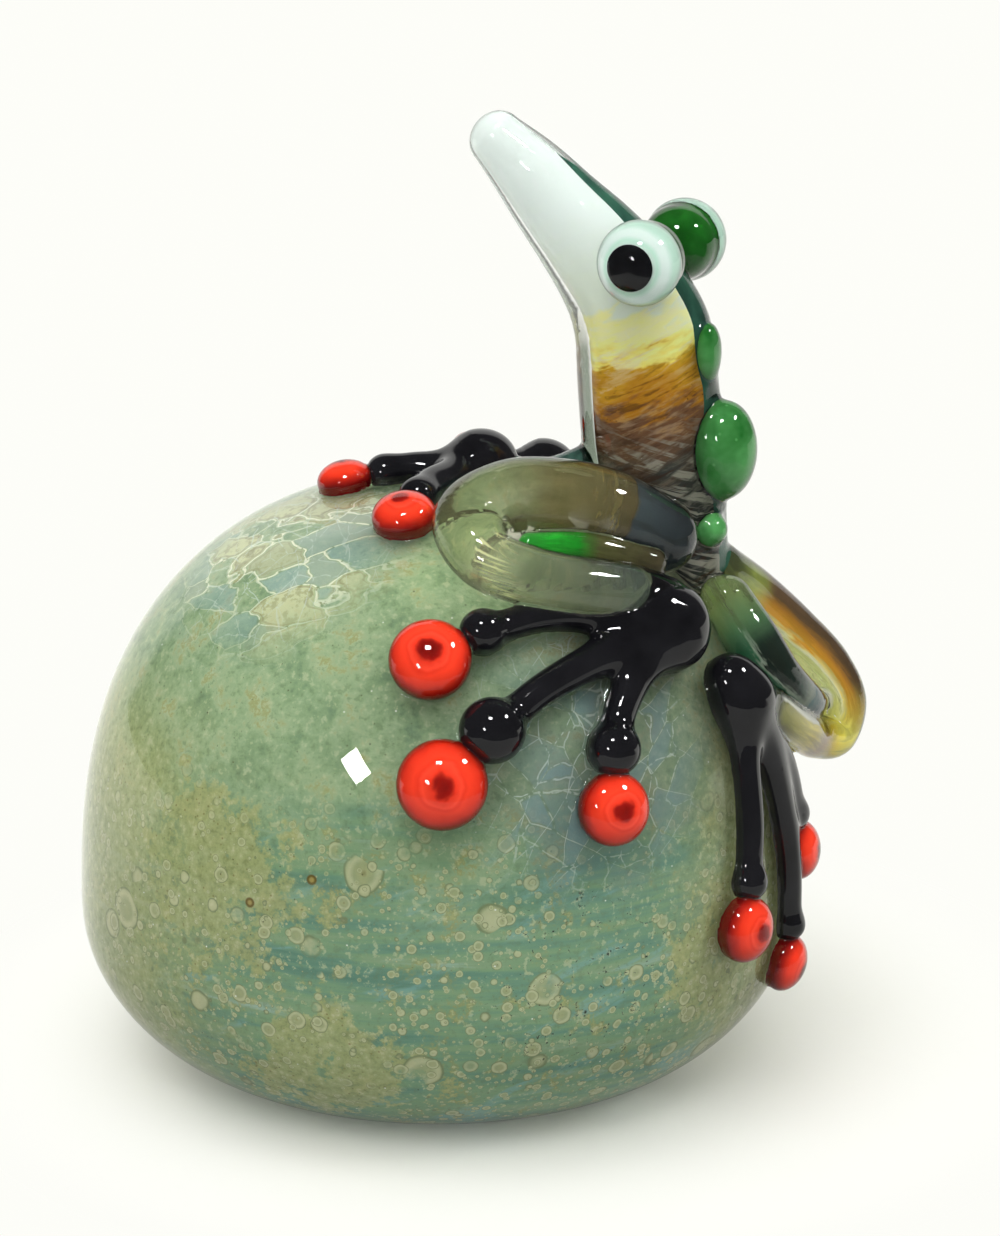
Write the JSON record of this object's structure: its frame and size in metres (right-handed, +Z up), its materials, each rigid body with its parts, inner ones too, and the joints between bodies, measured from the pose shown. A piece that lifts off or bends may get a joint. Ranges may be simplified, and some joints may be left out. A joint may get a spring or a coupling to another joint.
{
  "type": "glass animal paperweight",
  "caption": "Solid glass frog sitting upright on a rounded, cased glass pebble with a ground flat base, for weighing down papers.",
  "frame": {"origin": "middle of the ground base, on the plane it stands on", "axes": "+Z up, +Y away from the side the picture looks from, +X to the right of that view, towards the frog's back"},
  "size_m": [0.1091, 0.0941, 0.1317],
  "materials": {
    "clear_glass": "clear polished",
    "mottled_glass": "grey green with teal streaks and pale frit rosettes, polished",
    "opal_glass": "opal mint, fading to yellow and smoky brown at the foot, polished",
    "green_glass": "translucent green, polished",
    "teal_glass": "translucent dark teal, polished",
    "black_glass": "opaque black, polished",
    "red_glass": "translucent orange red, polished",
    "amber_glass": "amber with smoky streaks, polished"
  },
  "bodies": {
    "root": {"back_bead_lower": "green_glass", "back_bead_middle": "green_glass", "back_bead_upper": "green_glass", "back_layer": "green_glass", "body_casing": "clear_glass", "body_core": "opal_glass", "left_arm": "teal_glass", "left_calf": "teal_glass", "left_eye_ball": "green_glass", "left_eye_iris": "opal_glass", "left_eye_lens": "clear_glass", "left_eye_pupil": "black_glass", "left_foot_heel": "black_glass", "left_foot_tip_1": "red_glass", "left_foot_tip_2": "red_glass", "left_foot_tip_3": "red_glass", "left_foot_toe_1": "black_glass", "left_foot_toe_2": "black_glass", "left_foot_toe_3": "black_glass", "left_hand_finger_1": "black_glass", "left_hand_finger_2": "black_glass", "left_hand_finger_3": "black_glass", "left_hand_palm": "black_glass", "left_hand_tip_1": "red_glass", "left_hand_tip_2": "red_glass", "left_hand_tip_3": "red_glass", "left_leg_casing": "clear_glass", "left_leg_core": "amber_glass", "right_arm": "teal_glass", "right_calf": "teal_glass", "right_eye_ball": "green_glass", "right_eye_iris": "opal_glass", "right_eye_lens": "clear_glass", "right_eye_pupil": "black_glass", "right_foot_heel": "black_glass", "right_foot_tip_1": "red_glass", "right_foot_tip_2": "red_glass", "right_foot_tip_3": "red_glass", "right_foot_toe_1": "black_glass", "right_foot_toe_2": "black_glass", "right_foot_toe_3": "black_glass", "right_hand_finger_1": "black_glass", "right_hand_finger_2": "black_glass", "right_hand_finger_3": "black_glass", "right_hand_palm": "black_glass", "right_hand_tip_1": "red_glass", "right_hand_tip_2": "red_glass", "right_hand_tip_3": "red_glass", "right_leg_casing": "clear_glass", "right_leg_core": "amber_glass", "rock_casing": "clear_glass", "rock_core": "mottled_glass"}
  },
  "joints": []
}
